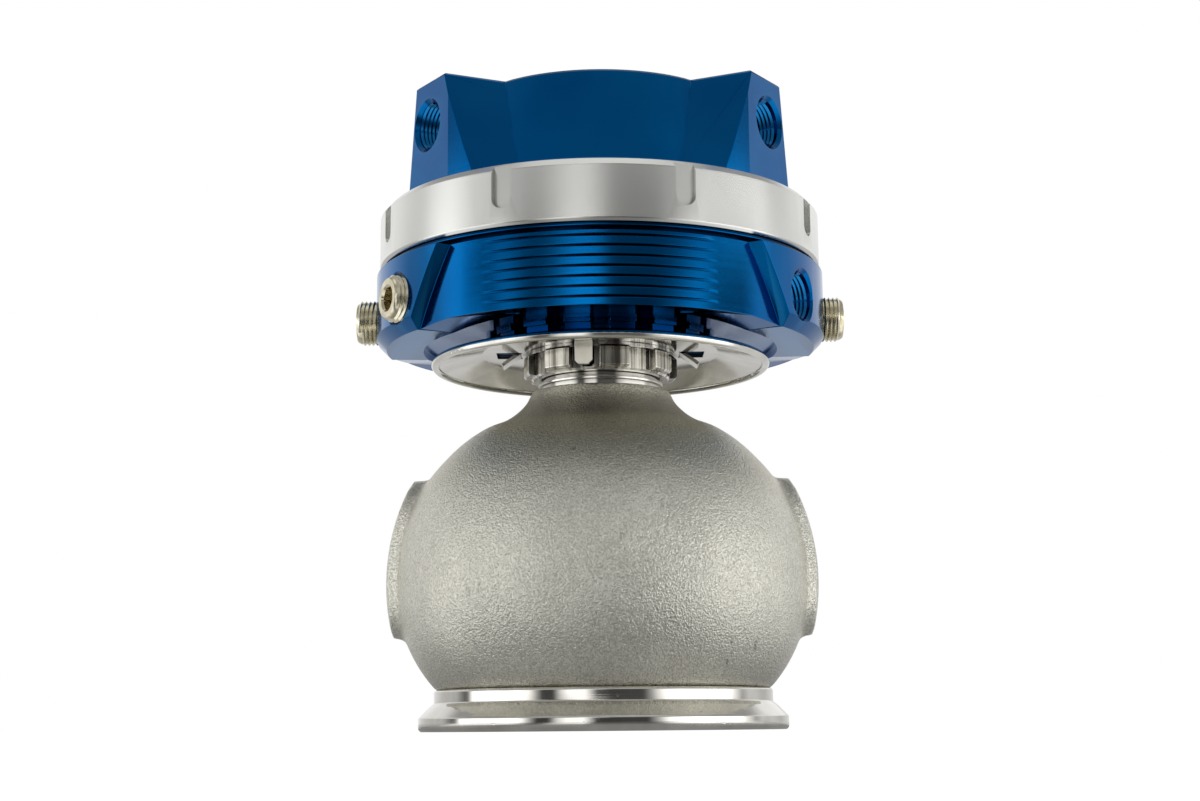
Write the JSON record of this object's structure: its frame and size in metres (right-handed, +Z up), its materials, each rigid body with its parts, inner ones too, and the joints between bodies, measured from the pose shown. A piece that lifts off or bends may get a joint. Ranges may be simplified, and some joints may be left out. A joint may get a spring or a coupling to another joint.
{
  "type": "turbo wastegate",
  "caption": "External exhaust wastegate: cast ball-shaped valve body with clamp flanges, heat shield, and a sprung diaphragm actuator that lifts a poppet valve.",
  "frame": {"origin": "centre of the inlet flange face", "axes": "+Z up along the valve stem, from the inlet to the cap; +Y out of the outlet; -Y is the front"},
  "size_m": [0.111, 0.1083, 0.1421],
  "materials": {
    "cast_steel": "sand cast, bead blasted",
    "machined_steel": "turned",
    "seat_steel": "ground",
    "collar_steel": "machined and polished",
    "shield_steel": "pressed and polished",
    "blue_anodised": "blue anodised, satin",
    "clear_anodised": "clear anodised, satin",
    "plug_nickel": "nickel plated",
    "bronze": "turned bronze",
    "spring_steel": "shot peened",
    "diaphragm_rubber": "fabric reinforced silicone",
    "seal_rubber": "matt",
    "gasket_metal": "crushed sheet",
    "piston_aluminium": "turned"
  },
  "bodies": {
    "housing": {"valve_body": "cast_steel", "inlet_flange": "machined_steel", "outlet_flange": "machined_steel", "valve_seat": "seat_steel", "valve_guide": "bronze"},
    "actuator": {"locking_collar": "collar_steel", "heat_shield": "shield_steel", "body_gasket": "gasket_metal", "actuator_base": "blue_anodised", "stem_bush": "bronze", "stem_seal": "seal_rubber", "seal_clip": "spring_steel", "left_front_plug": "plug_nickel", "left_side_plug": "plug_nickel", "right_side_plug": "plug_nickel", "lock_ring": "clear_anodised", "actuator_cap": "blue_anodised", "diaphragm": "diaphragm_rubber", "outer_spring": "spring_steel", "inner_spring": "spring_steel"},
    "valve_stem": {"valve": "seat_steel", "clamp_plate": "piston_aluminium", "piston": "piston_aluminium", "stem_washer": "machined_steel", "stem_nut": "machined_steel"}
  },
  "joints": [
    {"name": "actuator_clocking", "type": "hinge", "parent": "housing", "child": "actuator", "pos_m": [0, 0, 0.082], "axis": [0, 0, 1], "continuous": true},
    {"name": "valve_lift", "type": "slide", "parent": "actuator", "child": "valve_stem", "axis": [0, 0, 1], "range_m": [0, 0.0125], "stiffness_N_per_m": 12000, "springref_m": -0.019, "deforming": ["outer_spring", "inner_spring", "diaphragm"]}
  ]
}
